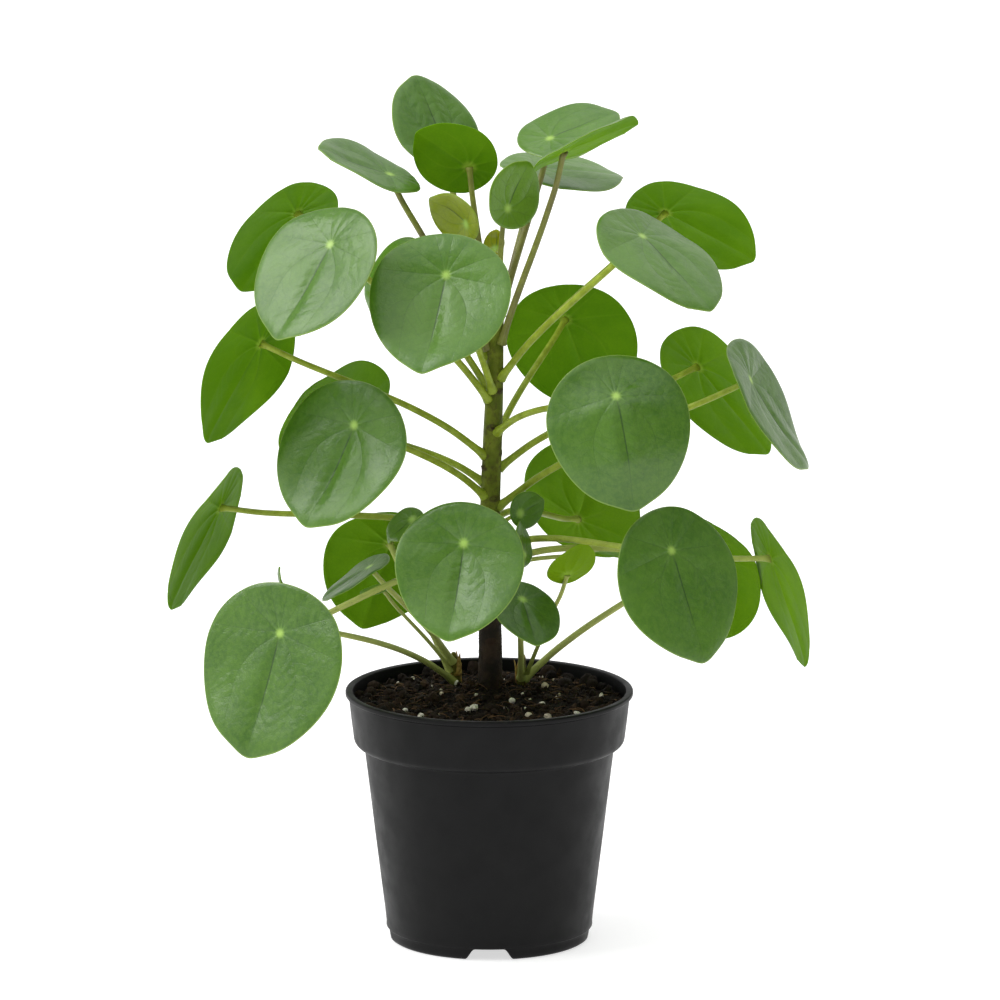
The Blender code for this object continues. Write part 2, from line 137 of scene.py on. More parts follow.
def seat(piece, node=None):
    """The piece rides on the one body of the plant and stands for its CAD node, if any."""
    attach(piece, "root")
    if node:
        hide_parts(node)
    return piece


# %% [markdown]
# ## Reading a CAD node
#
# The CAD model came through a file that holds loose triangles, so the corners that meet
# at one place are separate points. Rounding every point to a thousandth of a millimetre
# and keeping one of each joins them again.

# %% Points and edges of a CAD node
def joined_mesh(name):
    """The distinct points of a CAD node and its triangles as numbers of those points."""
    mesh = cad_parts[name].data
    corners = np.empty(len(mesh.vertices) * 3)
    mesh.vertices.foreach_get("co", corners)
    mesh.calc_loop_triangles()
    faces = np.empty(len(mesh.loop_triangles) * 3, np.int32)
    mesh.loop_triangles.foreach_get("vertices", faces)
    keys = np.round(corners.reshape(-1, 3) / (0.001 * MM)).astype(np.int64)
    _, first, number = np.unique(keys, axis=0, return_index=True, return_inverse=True)
    return corners.reshape(-1, 3)[first], number.reshape(-1)[faces].reshape(-1, 3)


def rings_from_hub(name):
    """The rings of points of a leaf node, from the hub outwards, round the margin, back
    under the blade and down the stalk: a point's ring is its distance from the hub in
    steps along edges. The hub is the point where most edges meet."""
    points, faces = joined_mesh(name)
    edges = np.unique(np.sort(faces[:, [0, 1, 1, 2, 2, 0]].reshape(-1, 2), axis=1), axis=0)
    edges = np.concatenate([edges, edges[:, ::-1]])
    hub = np.bincount(edges[:, 0]).argmax()
    step = np.full(len(points), -1)
    step[hub] = 0
    for number in range(1, 40):
        reached = edges[step[edges[:, 0]] == number - 1, 1]
        reached = reached[step[reached] < 0]
        if len(reached) == 0:
            break
        step[reached] = number
    return [points[step == number] for number in range(step.max() + 1)]


# %% [markdown]
# ## Where each leaf is
#
# The CAD blade follows one rule: the tip is the margin point farthest from the hub, and
# the blunt end is the nearest. Both lie in the plane of the midrib, so two small
# equations give back the direction of the tip, the direction that the upper side faces
# and the length of the blade.

# %% The frame of a blade
HUB_SHARE = 0.27  # how far the stalk joins from the blunt end, as a share of the length
WIDTH_SHARE = 0.92
BLUNT_END = 0.12  # how much wider the blade is at its blunt end
TIP_POINT = 0.03  # how far the short point stands out, as a share of the length
TIP_POINT_SPREAD = 0.22  # radians to each side over which it does
DOME = 0.10  # fall of the blade at one length from the hub, as a share of the length


def blade_frame(rings):
    """Hub, length, and the rows of unit vectors towards the tip, across, and out of the
    upper side. Solves tip - hub = a t - d n and blunt - hub = -b t - e n for t and n."""
    hub, margin = rings[0][0], rings[2]
    away = np.linalg.norm(margin - hub, axis=1)
    ends = np.stack([margin[away.argmax()], margin[away.argmin()]]) - hub
    to_tip = 0.5 + TIP_POINT / 2 + 0.5 - HUB_SHARE
    to_blunt = 0.5 + TIP_POINT / 2 - 0.5 + HUB_SHARE
    rule = np.array([[to_tip, -DOME * to_tip**2], [-to_blunt, -DOME * to_blunt**2]])
    tip, normal = np.linalg.solve(rule, ends)
    length = np.linalg.norm(tip)
    tip /= length
    normal -= tip * (normal @ tip)
    normal /= np.linalg.norm(normal)
    return hub, length, np.stack([tip, np.cross(normal, tip), normal])


hub, length, _ = blade_frame(rings_from_hub("leaf_upper_front"))
print(f"leaf_upper_front: {length / MM:.1f} mm long, hub at height {hub[2] / MM:.0f} mm")


# %% [markdown]
# ## Materials: small helpers
#
# A material is a chain of nodes. These helpers keep the chains short to read: one makes
# a node and joins its inputs, some do sums, and layers() lays one colour after another
# over the first, each through its own mask, as a painter would.

# %% Helpers for node chains
class Chain:
    """The node tree of a new material, with its Principled shader, or a tree that is given."""

    def __init__(self, name, tree=None):
        if tree is None:
            self.material = bpy.data.materials.new(name)
            self.material.use_nodes = True
            tree = self.material.node_tree
            self.shader = tree.nodes["Principled BSDF"]
        self.tree = tree

    def node(self, kind, inputs=None, **settings):
        made = self.tree.nodes.new(kind)
        for key, value in settings.items():
            setattr(made, key, value)
        for key, value in (inputs or {}).items():
            self.join(value, made.inputs[key])
        return made

    def join(self, value, socket):
        """Link a socket to an input, or set the input to a plain value or colour."""
        if isinstance(value, bpy.types.NodeSocket):
            self.tree.links.new(value, socket)
            return
        if isinstance(value, tuple) and len(socket.default_value) == 4:
            value = (*value, 1.0)
        socket.default_value = value

    def sum(self, operation, a, b=0.0, c=0.0, clamp=False):
        made = self.node("ShaderNodeMath", {0: a, 1: b, 2: c}, operation=operation, use_clamp=clamp)
        return made.outputs[0]

    def times(self, a, b):
        return self.sum("MULTIPLY", a, b)

    def weigh(self, *pairs):
        """The sum of each value times its weight."""
        total = 0.0
        for value, weight in pairs:
            total = self.sum("MULTIPLY_ADD", value, weight, total)
        return total

    def mix(self, share, a, b, how="MIX"):
        made = self.node("ShaderNodeMix", {0: share, 6: a, 7: b}, data_type="RGBA", blend_type=how)
        return made.outputs[2]

    def layers(self, colour, *layers):
        """The colour with layers over it, each one a mask, how much of it shows, and a colour."""
        for mask, share, over in layers:
            colour = self.mix(self.times(mask, share), colour, over)
        return colour

    def between(self, value, low, high, to_low=0.0, to_high=1.0, smooth=True):
        """value carried from the span low..high to the span to_low..to_high, and held there."""
        made = self.node(
            "ShaderNodeMapRange",
            {"Value": value, "From Min": low, "From Max": high, "To Min": to_low, "To Max": to_high},
            interpolation_type="SMOOTHSTEP" if smooth else "LINEAR",
        )
        return made.outputs[0]

    def field(self, name, output="Fac"):
        return self.node("ShaderNodeAttribute", attribute_name=name).outputs[output]

    def place(self):
        return self.node("ShaderNodeTexCoord").outputs["Object"]

    def noise(self, scale, detail=3.0, rough=0.55):
        inputs = {"Vector": self.place(), "Scale": scale, "Detail": detail, "Roughness": rough}
        return self.node("ShaderNodeTexNoise", inputs).outputs["Fac"]

    def grain(self, scale, low, high, detail=3.0, rough=0.55, to_low=0.0, to_high=1.0):
        """Noise with its span low..high carried to to_low..to_high."""
        return self.between(self.noise(scale, detail, rough), low, high, to_low, to_high)

    def finish(self, colour, rough, shine, relief=None, depth=0.0, **more):
        """Set the shader's colour, roughness and specular level, and its bump, if any."""
        if relief is not None:
            bump = self.node("ShaderNodeBump", {"Height": relief, "Distance": depth, "Strength": 1.0})
            more["Normal"] = bump.outputs["Normal"]
        more.update(Base_Color=colour, Roughness=rough, Specular_IOR_Level=shine)
        for key, value in more.items():
            self.join(value, self.shader.inputs[key.replace("_", " ")])
        return self.material


# %% [markdown]
# ## Vein pattern of a blade
#
# A pilea leaf has one midrib from the hub to the tip and a few arched main veins to each
# side. A handy trick is to number the plane of the blade by the vein that would pass
# through each point: near the hub this number is the plain angle, and further out the
# plane is stretched sideways so that the lines arch forward to the tip. A vein is then
# simply a place where the number has a given value, and one ramp draws all of them.

# %% The vein angle of the blade's plane
VEINS = (0.0, 0.27, 0.46, 0.66, 0.86, 1.0)  # angles of the main veins, as shares of a half turn
ARCH = 0.36  # how far along the blade the veins arch over, as a share of its length


def vein_angle(x, y):
    """Angle from the midrib, as a share of a half turn, of the arched line through (x, y):
    the angle of the point (x, y (1 + (x / ARCH)^2)), with x stretched only towards the tip."""
    stretch = 1 + (np.maximum(x, 0) / ARCH) ** 2
    return np.arctan2(np.abs(y) * stretch, x) / math.pi


def vein_spread(x, y):
    """Length across the lines for one unit of vein angle: one over its gradient."""
    step = 1e-4
    along = (vein_angle(x + step, y) - vein_angle(x - step, y)) / (2 * step)
    aside = (vein_angle(x, np.abs(y) + 2 * step) - vein_angle(x, np.abs(y))) / (2 * step)
    return 1 / np.maximum(np.hypot(along, aside), 0.2)


def vein_distance(x, y):
    """Distance to the nearest main vein in the blade's plane, as a share of its length."""
    angle = vein_angle(x, y)
    nearest = np.abs(angle[..., None] - np.array(VEINS)).min(-1)
    return nearest * vein_spread(x, y)


# %% [markdown]
# ## Shape of a blade
#
# The blade is a polar grid: one number goes round the margin, the other from the hub to
# the margin. It is domed, pressed in a little at the hub, quilted between the veins, and
# curled slightly down at the very edge. Each leaf has its own slow waves, so that no two
# are the same. The outline is the CAD one and never larger, so that the leaf stays inside
# the size that was measured.

# %% Blade surface
VALLEY = (0.50 * MM, 3.2 * MM)  # depth and width of the valley along a main vein
MIDRIB = (0.90 * MM, 2.4 * MM)
GROOVE = (0.12 * MM, 0.7 * MM)  # the fine line in the middle of each valley
HUB_DIP = (0.55 * MM, 4.5 * MM)
RIDGE = (0.35 * MM, 0.55 * MM)  # the raised vein on the underside
FULL_RELIEF = 45 * MM  # length from which a blade has the whole relief; smaller ones have less


def s_curve(share):
    """3 s^2 - 2 s^3, which climbs from 0 to 1 and is level at both ends."""
    share = np.clip(share, 0, 1)
    return share**2 * (3 - 2 * share)


def bell(distance, shape):
    """depth x exp(-(distance / width)^2)"""
    depth, width = shape
    return depth * np.exp(-((distance / width) ** 2))


def outline(angle, seed):
    """Margin of the blade as shares of its length, hub at the origin: a near-circle that
    is wider at the blunt end, with a short point at the tip and slow dents of its own."""
    from_tip = np.abs((angle + math.pi) % (2 * math.pi) - math.pi)
    point = TIP_POINT * np.exp(-((from_tip / TIP_POINT_SPREAD) ** 2)) - TIP_POINT / 2
    dents = 0.5 + 0.3 * np.sin(2 * angle + 9 * seed) + 0.2 * np.sin(5 * angle + 23 * seed)
    shrink = 1 - 0.018 * dents
    x = (0.5 * np.cos(angle) + point + 0.5 - HUB_SHARE) * shrink
    y = 0.5 * WIDTH_SHARE * np.sin(angle) * (1 - BLUNT_END * np.cos(angle)) * shrink
    return x, y


def blade_height(x, y, share, angle, size, seed, cup, fold):
    """Height of the upper side over the hub's plane, in metres. Adds the dome (or a cup),
    a crease along the midrib that leaves the margin where it was, valleys and fine grooves
    along the veins, the dip at the hub, slow waves that grow towards the margin, and the
    curl at the edge."""
    away = np.hypot(x, y)
    vein = vein_distance(x, y) * size
    half = 0.46 * np.sqrt(np.clip(1 - ((x - 0.23) / 0.5) ** 2, 0, 1))
    open_part = np.clip((x + 0.22) / 0.3, 0, 1) * np.clip((0.76 - x) / 0.36, 0, 1)
    crease = (np.sqrt(y**2 + 0.0050) - half) * s_curve(open_part)
    height = (cup - DOME) * away**2 * size + fold * crease * size
    fade = np.clip(share * 2.5, 0, 1) * (1 - 0.75 * share)
    relief = fade * (bell(vein, VALLEY) + bell(y * size, MIDRIB) * np.clip(12 * x, 0, 1))
    relief += bell(vein, GROOVE) * (1 - 0.7 * share) + bell(away * size, HUB_DIP)
    relief += 0.5 * MM * np.clip((share - 0.9) / 0.1, 0, 1) ** 2
    waves = 0.011 * (np.sin(3 * angle + 17 * seed) + 0.7 * np.sin(5 * angle + 31 * seed))
    waves += 0.012 * np.sin(2 * angle + 41 * seed)
    return height - min(1.0, size / FULL_RELIEF) * relief + size * share**2 * waves


# %% Both sides of a blade and its rounded edge
def blade_grid(columns, rows, size, seed, cup, fold):
    """Points of the closed blade in its own plane, from the hub on the upper side, out to
    the margin, round the edge and back to the hub below, and how far each one is on the
    way to the margin. The wall is thickest at the hub and thins to the edge."""
    angle = turns(columns)[None, :]
    upper = np.linspace(0, 1, rows + 1)[1:, None] ** 0.85
    edge = np.stack(outline(angle, seed))
    parts, shares = [], []
    for share, below in ((upper, False), (upper[::-2], True)):
        x, y = share * edge
        share = share + 0 * angle
        z = blade_height(x, y, share, angle + 0 * share, size, seed, cup, fold)
        if below:
            ridge = bell(vein_distance(x, y) * size, RIDGE) * (1 - 0.6 * share)
            wall = (0.85 - 0.4 * share) * MM
            z = z - min(1.0, size / (30 * MM)) * wall - min(1.0, size / FULL_RELIEF) * ridge
        parts.append(np.stack([x * size, y * size, z], -1))
        shares.append(share)
    # The rounded edge: a half circle of three rings between the two margins.
    top, low = parts[0][-1], parts[1][0]
    turn = np.array([0.25, 0.5, 0.75])[:, None, None] * math.pi
    out = np.stack([*edge[:, 0], 0 * edge[0, 0]], -1)
    out /= np.linalg.norm(out, axis=1, keepdims=True)
    half = (top - low) / 2
    bulge = np.linalg.norm(half, axis=1, keepdims=True) * out
    rim = (top + low) / 2 + half * np.cos(turn) + bulge * np.sin(turn)
    # Everything is drawn in by the bulge, so that the edge keeps to the outline.
    upper, under = (part - bulge * share[..., None] for part, share in zip(parts, shares))
    points = np.concatenate([upper, rim - bulge, under])
    return points, np.concatenate([shares[0], np.full((3, columns), 1.02), shares[1]])


# %% [markdown]
# ## Leaf stalks
#
# A stalk is a circle carried along a curve. The curve passes through the middle of each
# ring of the CAD stalk, and a smooth spline fills in between. At the stem the stalk
# swells into a small foot, and at the top it spreads into the blade like a trumpet.

# %% A smooth line through points
def smooth_line(points, count):
    """Catmull-Rom curve through the points: each span is the cubic whose slope at a point
    is half the step between that point's neighbours."""
    ends = np.concatenate([[2 * points[0] - points[1]], points, [2 * points[-1] - points[-2]]])
    at = np.linspace(0, len(points) - 1, count)
    span = np.minimum(at.astype(int), len(points) - 2)
    t = (at - span)[:, None]
    a, b, c, d = (ends[span + k] for k in range(4))
    square, cube = 2 * a - 5 * b + 4 * c - d, 3 * b - a - 3 * c + d
    return 0.5 * (2 * b + (c - a) * t + square * t**2 + cube * t**3)


def tube(path, radius, sides, reference=(0.31, 0.17, 0.93)):
    """Rings of a tube round a path: at each point the direction of the path, a side
    direction square to it, and the third square to both, carry a circle."""
    ahead = np.gradient(path, axis=0)
    ahead /= np.linalg.norm(ahead, axis=1, keepdims=True)
    side = np.cross(ahead, np.array(reference))
    side /= np.linalg.norm(side, axis=1, keepdims=True)
    up = np.cross(ahead, side)
    angle = turns(sides)[None, :, None]
    ring = side[:, None] * np.cos(angle) + up[:, None] * np.sin(angle)
    return path[:, None] + ring * np.broadcast_to(radius, (len(path), sides))[..., None]


# %% A whole leaf
STALK_SIDES = 14
STALK_STEPS = 40
STALK_ROOT = 1.2 * MM  # how far the stalk grows into the bark
STALK_BEND = 30 * MM  # length of the stalk that follows the hub when the fold moves it


def stalk_grid(rings, hub, normal, sink):
    """Rings of the stalk from the stem to the middle of the blade's wall, which lies sink
    above the hub's plane. The CAD stalk rings come after the blade's five, from the blade
    down to the stem. The radius swells as exp(-d/2.2) at the stem and exp(-d/1.3) at the
    blade, with d in mm."""
    middles = np.array([ring.mean(0) for ring in rings[:4:-1]])
    spans = [np.linalg.norm(ring - ring.mean(0), axis=1).mean() for ring in rings[:4:-1]]
    inward = middles[0] - middles[1]
    foot = middles[0] + inward / np.linalg.norm(inward) * STALK_ROOT
    path = smooth_line(np.concatenate([[foot], middles[:-1], [hub]]), STALK_STEPS)
    near = np.clip(1 - np.linalg.norm(path - hub, axis=1) / STALK_BEND, 0, 1)
    path = path + (near**2)[:, None] * sink * normal
    radius = np.interp(np.linspace(0, 1, STALK_STEPS), np.linspace(0, 1, len(spans)), spans)
    from_stem, from_hub = (np.linalg.norm(path - path[k], axis=1) for k in (0, -1))
    radius = radius * (0.86 + 0.55 * np.exp(-from_stem / (2.2 * MM)))
    radius = radius + radius[-1] * 0.6 * np.exp(-from_hub / (1.3 * MM))
    return tube(path, radius[:, None], STALK_SIDES)


def keep_below(stalk, hub, axes, sink, shape):
    """The stalk's rings, with each point that would reach the upper side moved down until
    it lies inside the blade's wall. Near the hub the wall's own height is the limit."""
    x, y, z = np.moveaxis((stalk - hub) @ axes.T, -1, 0)
    size = shape[0]
    away = np.hypot(x, y)
    inside = 0.4 * MM * min(1.0, size / (30 * MM))
    roof = blade_height(x / size, y / size, away / size / 0.4, np.arctan2(y, x), *shape) - inside
    limit = np.where(away < 6 * MM, np.minimum(roof, sink), sink)
    return stalk - np.maximum(z - limit, 0)[..., None] * axes[2]


def build_leaf(name, materials, seed, cup, fold, **traits):
    """One leaf: the closed blade and the closed stalk that runs into it, in one mesh.
    Face numbers 0, 1 and 2 are the upper side, the underside and the stalk."""
    rings = rings_from_hub(name)
    hub, size, axes = blade_frame(rings)
    shape = (size, seed, cup, fold)
    columns, rows = (132, 34) if size > 40 * MM else (84, 22)
    grid, share = blade_grid(columns, rows, *shape)
    top, low = grid[0].mean(0) + [0, 0, 0.1 * MM], grid[-1].mean(0)
    plan, blade_quads, blade_fans = capped(grid, poles=[top, low])
    sink = 0.3 * top[2] + 0.7 * low[2]
    stalk = keep_below(stalk_grid(rings, hub, axes[2], sink), hub, axes, sink, shape)
    stalk, stalk_quads, stalk_fans = capped(stalk, start=len(plan))
    points = np.concatenate([hub + plan @ axes, stalk])
    box_low, box_high = np.array(cad_box)
    points += np.maximum(box_low - points.min(0), 0) - np.maximum(points.max(0) - box_high, 0)
    side = np.where(np.arange(len(blade_quads)) // columns < rows + 1, 0, 1)
    rest = np.repeat([2, 0, 1, 2], [len(stalk_quads), columns, columns, len(stalk_fans)])
    pad = lambda values: np.concatenate([values, np.zeros((len(stalk), *values.shape[1:]))])
    x, y = plan[:, 0] / size, plan[:, 1] / size
    fields = {
        "plan": pad(np.column_stack([plan[:, :2] / MM, np.append(share, [0, 0])])),
        "vein_angle": pad(vein_angle(x, y)),
        "vein_spread": pad(vein_spread(x, y) * size / MM),
        **{trait: np.full(len(points), value) for trait, value in traits.items()},
    }
    quads = np.concatenate([blade_quads[:, ::-1], stalk_quads])
    fans = np.concatenate([blade_fans[:, ::-1], stalk_fans])
    looks = np.concatenate([side, rest])
    return seat(new_piece(f"{name}_grown", points, quads, fans, materials, looks, fields), name)


# %% [markdown]
# ## Leaf finishes
#
# The upper side is a smooth waxy green. Its veins are fine grooves, a little darker, and
# the midrib groove is painted darker still, as shade in it. The hub shows as a pale
# yellow-green dot because the stalk shines through from below.
# The margin is a thin pale line. The underside is duller and yellower, with pale raised
# veins, and light from behind glows through it, so a part of its shader is translucent.
# Its base green is brighter than the upper side's: partly its own paler colour, and partly
# painted glow of the light that comes through from behind.

# %% Vein lines as nodes
SIDE_VEIN_STEP = 5.2  # mm from one side vein to the next

def vein_lines(chain, wide, fine):
    """Masks of the main veins, the side veins, the quilting between them and the fine net,
    then the distance from the hub in mm and the share of the way to the margin. The ramp
    turns the vein angle into the distance to the nearest vein, and the spread turns that
    into mm. Side veins are stripes of (distance from the hub - 0.8 x distance from the
    vein), and the quilting rises smoothly from one stripe and falls to the next."""
    ramp = chain.node("ShaderNodeValToRGB", {"Fac": chain.field("vein_angle")})
    stops = ramp.color_ramp.elements
    for low, high in zip(VEINS, VEINS[1:]):
        middle = stops.new((low + high) / 2)
        middle.color = ((high - low) / 2,) * 3 + (1.0,)
        if high < 1.0:
            stops.new(high).color = (0, 0, 0, 1)
    stops[0].color = stops[len(stops) - 1].color = (0, 0, 0, 1)
    vein = chain.times(ramp.outputs["Color"], chain.field("vein_spread"))
    plan = chain.field("plan", "Vector")
    share = chain.node("ShaderNodeSeparateXYZ", {0: plan}).outputs[2]
    flat = chain.node("ShaderNodeVectorMath", {0: plan, 1: (1, 1, 0)}, operation="MULTIPLY").outputs[0]
    hub = chain.node("ShaderNodeVectorMath", {0: flat}, operation="LENGTH").outputs["Value"]
    width = chain.between(share, 0.0, 1.0, wide, wide * 0.3, smooth=False)
    main = chain.sum("SUBTRACT", 1.0, chain.sum("DIVIDE", vein, width), clamp=True)
    row = chain.weigh((hub, 1.0), (vein, -0.8), (chain.noise(75.0, 2.0), 9.0))
    row = chain.sum("FRACT", chain.times(row, 1 / SIDE_VEIN_STEP))
    row = chain.sum("ABSOLUTE", chain.sum("SUBTRACT", row, 0.5))
    reach = chain.times(chain.between(share, 0.98, 0.7), chain.between(hub, 3.0, 9.0))
    side = chain.sum("SUBTRACT", 1.0, chain.sum("DIVIDE", row, fine), clamp=True)
    side, quilt = chain.times(side, reach), chain.times(chain.between(row, 0.0, 0.5), reach)
    net = chain.node(
        "ShaderNodeTexVoronoi", {"Vector": flat, "Scale": 0.55},
        feature="DISTANCE_TO_EDGE", voronoi_dimensions="2D",
    )
    net = chain.between(net.outputs["Distance"], 0.0, 0.16, 1.0, 0.0)
    return main, side, quilt, net, hub, share


# %% Upper side of the leaves
def upper_finish():
    """Waxy green, fresh or old, with blotches and cells, then veins, hub and pale margin; the midrib is
    painted darker as shade in its groove, and the old green on leaf_upper_left is painted shade.
    """
    chain = Chain("leaf upper side")
    main, side, quilt, net, hub, share = vein_lines(chain, 0.65, 0.07)
    tone = chain.field("tone")
    blotch = chain.grain(42.0, 0.35, 0.68, 4.0)
    fresh = chain.mix(blotch, (0.062, 0.165, 0.010), (0.090, 0.210, 0.017))
    old = chain.mix(blotch, (0.040, 0.115, 0.006), (0.064, 0.155, 0.012))
    # The midrib mask: its layer below paints shade along the midrib groove, fading out towards the tip.
    midrib = chain.times(main, chain.between(chain.field("vein_angle"), 0.12, 0.02))
    midrib = chain.times(midrib, chain.between(share, 0.80, 0.45))
    green = chain.layers(
        # The fresh-to-old mix; on leaf_upper_left its darkening is painted shade.
        chain.mix(chain.field("age"), fresh, old),
        (chain.grain(430.0, 0.35, 0.65, 3.0, 0.7), 0.42, (0.110, 0.225, 0.022)),
        (tone, 1.0, (0.150, 0.300, 0.006)),
        (chain.between(tone, 0.65, 1.0), 0.7, (0.400, 0.360, 0.008)),
        (net, 0.10, (0.026, 0.075, 0.008)),
        (side, 0.18, (0.028, 0.080, 0.008)),
        (main, 0.25, (0.026, 0.075, 0.008)),
        # Painted shade in the midrib groove.
        (midrib, 0.7, (0.012, 0.040, 0.006)),
        (chain.times(main, chain.between(hub, 7.0, 1.5)), 0.35, (0.200, 0.380, 0.060)),
        (chain.between(hub, 2.8, 0.3), 1.0, (0.360, 0.560, 0.100)),
        (chain.between(share, 0.991, 1.0), 0.75, (0.220, 0.340, 0.050)),
    )
    rough = chain.grain(60.0, 0.3, 0.7, to_low=0.28, to_high=0.40)
    fine = chain.noise(300.0, 4.0, 0.65)
    relief = chain.weigh((net, -0.1), (side, -0.2), (quilt, 0.5), (main, -0.35), (fine, 2.2))
    chain.finish(green, rough, 0.55, relief, 0.12 * MM)
    return let_light_through(chain, green, 0.14)


def let_light_through(chain, colour, share):
    """Mix a part of translucent shader into the leaf: the light that comes out on the
    far side is the leaf's own colour, brighter and yellower."""
    tint = chain.mix(1.0, colour, (2.4, 2.2, 0.3), how="MULTIPLY")
    glow = chain.node("ShaderNodeBsdfTranslucent", {"Color": tint})
    both = chain.node("ShaderNodeMixShader", {0: share, 1: chain.shader.outputs[0], 2: glow.outputs[0]})
    output = chain.tree.nodes["Material Output"]
    chain.tree.links.new(both.outputs[0], output.inputs["Surface"])
    return chain.material


# %% Underside and stalks of the leaves
def under_finish():
    """Duller and yellower than the upper side, with pale veins and a pale middle; its bright green is
    partly its own colour and partly painted glow of light through the leaf.
    """
    chain = Chain("leaf underside")
    main, side, quilt, net, hub, _ = vein_lines(chain, 0.9, 0.10)
    blotch = chain.grain(38.0, 0.35, 0.68, 4.0)
    green = chain.layers(
        # Bright yellow-green base: partly the underside's own colour, partly painted glow of light from
        # behind.
        chain.mix(blotch, (0.110, 0.270, 0.0015), (0.150, 0.330, 0.004)),
        (chain.field("tone"), 1.0, (0.340, 0.460, 0.008)),
        (net, 0.16, (0.080, 0.200, 0.002)),
        (side, 0.12, (0.180, 0.360, 0.012)),
        (main, 0.22, (0.220, 0.400, 0.020)),
        (chain.between(hub, 4.0, 1.2), 1.0, (0.300, 0.460, 0.050)),
    )
    relief = chain.weigh((net, 0.15), (side, 0.3), (quilt, -0.5), (chain.noise(800.0, 2.0), 0.25))
    chain.finish(green, 0.55, 0.08, relief, 0.12 * MM)
    return let_light_through(chain, green, 0.24)


def stalk_finish():
    """Streaky green, paler near the soil, flushed with brown near the crown, and specked."""
    chain = Chain("leaf stalk")
    streak = chain.grain(220.0, 0.35, 0.7)
    height = chain.node("ShaderNodeSeparateXYZ", {0: chain.place()}).outputs[2]
    flush = chain.grain(45.0, 0.3, 0.6, to_low=0.55, to_high=1.0)
    green = chain.layers(
        chain.mix(streak, (0.230, 0.300, 0.012), (0.330, 0.420, 0.036)),
        (chain.between(height, 0.190, 0.145), 0.75, (0.440, 0.480, 0.150)),
        (chain.field("blush"), flush, (0.130, 0.090, 0.055)),
        (chain.grain(1500.0, 0.62, 0.72, 1.0), 0.35, (0.060, 0.060, 0.020)),
    )
    return chain.finish(green, 0.42, 0.3, chain.noise(700.0), 0.10 * MM)


leaf_finishes = [upper_finish(), under_finish(), stalk_finish()]
print("leaf finishes:", ", ".join(m.name for m in leaf_finishes))


# %% [markdown]
# ## Growing the leaves
#
# Most leaves share one habit, and the table names those that differ: how yellow they are,
# how far they are cupped or folded along the midrib, and how much older they look than
# their height tells; for leaf_upper_left the older share is painted shade that darkens the
# whole leaf. The stalks near the crown are flushed with brown.

# %% All forty leaves
# The older column also holds painted shade: on leaf_upper_left it darkens the whole leaf.
HABITS = {  # tone, cup, fold, older
    "leaf_bud": (0.95, 0.0, 0.5, 0.0),
    "leaf_young_upright": (0.60, 0.28, 0.0, 0.0),
    "leaf_young_folded": (0.85, 0.0, 0.35, 0.0),
    "leaf_shoot_curled": (0.35, 0.25, 0.0, 0.3),
    "leaf_shoot_round": (0.05, 0.05, 0.0, 0.5),
    "leaf_shoot_small": (0.45, 0.15, 0.0, 0.0),
    "leaf_small_left": (0.35, 0.1, 0.0, 0.0),
    "leaf_small_left_edge": (0.45, 0.1, 0.2, 0.0),
    "leaf_small_right": (0.25, 0.1, 0.0, 0.0),
    "leaf_small_right_edge": (0.30, 0.1, 0.0, 0.0),
    "leaf_upper_front": (0.03, 0.0, 0.19, 0.1),
    "leaf_low_front": (0.03, 0.0, 0.24, 0.0),
    "leaf_low_left": (0.03, 0.0, 0.10, 0.2),
    "leaf_middle_left": (0.05, 0.0, 0.17, 0.0),
    "leaf_middle_right": (0.0, 0.0, -0.30, 0.5),
    # Painted shade: older 0.5 darkens this whole leaf.
    "leaf_upper_left": (0.02, 0.0, 0.10, 0.5),
    "leaf_top_left": (0.05, 0.0, 0.12, 0.3),
    "leaf_far_right": (0.05, 0.0, 0.10, 0.4),
}
CROWN = ("leaf_top", "leaf_young", "leaf_bud")  # how the names of the crown's leaves start

for number, name in enumerate(leaf_names):
    seed = (number * 0.618034) % 1.0
    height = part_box(name)[1].z
    tone, cup, fold, older_and_shaded = HABITS.get(name, (0.10 * seed, 0.0, 0.0, 0.0))
    blush = (0.85 if name.startswith(CROWN) else 0.06) * (0.7 + 0.3 * seed)
    # Real age from the height, plus painted shade where a table row darkens a leaf.
    age = min(1.0, older_and_shaded + max(0.0, 0.9 - (height - 0.15) / 0.18) * (0.75 + 0.25 * seed))
    build_leaf(name, leaf_finishes, seed, cup, fold, tone=tone, blush=blush, age=age)
print(f"{len(leaf_names)} leaves grown")


# %% [markdown]
# ## The stems
#
# The main stem is woody at its foot, brown and cracked, and turns green and smooth
# towards the crown. Old leaves have left oval scars round it in a spiral. The surface is
# a tube whose radius is changed by three things: long shallow ridges, fine cracks that
# fade out upwards, and the raised scars.

# %% Stem surface
STEM_STEP = 0.5 * MM  # height from one ring of points to the next
BARK_FADE = 45 * MM  # height over which the wood gives way to green bark

def stations_of(name):
    """Middle and radius of each level ring of a CAD stem, from the lowest up."""
    points, _ = joined_mesh(name)
    levels = np.unique(np.round(points[:, 2], 5))
    rings = [points[np.abs(points[:, 2] - level) < 2e-5] for level in levels]
    middles = np.array([ring.mean(0) for ring in rings])
    radii = np.array([np.linalg.norm((ring - ring.mean(0))[:, :2], axis=1).max() for ring in rings])
    return middles, radii


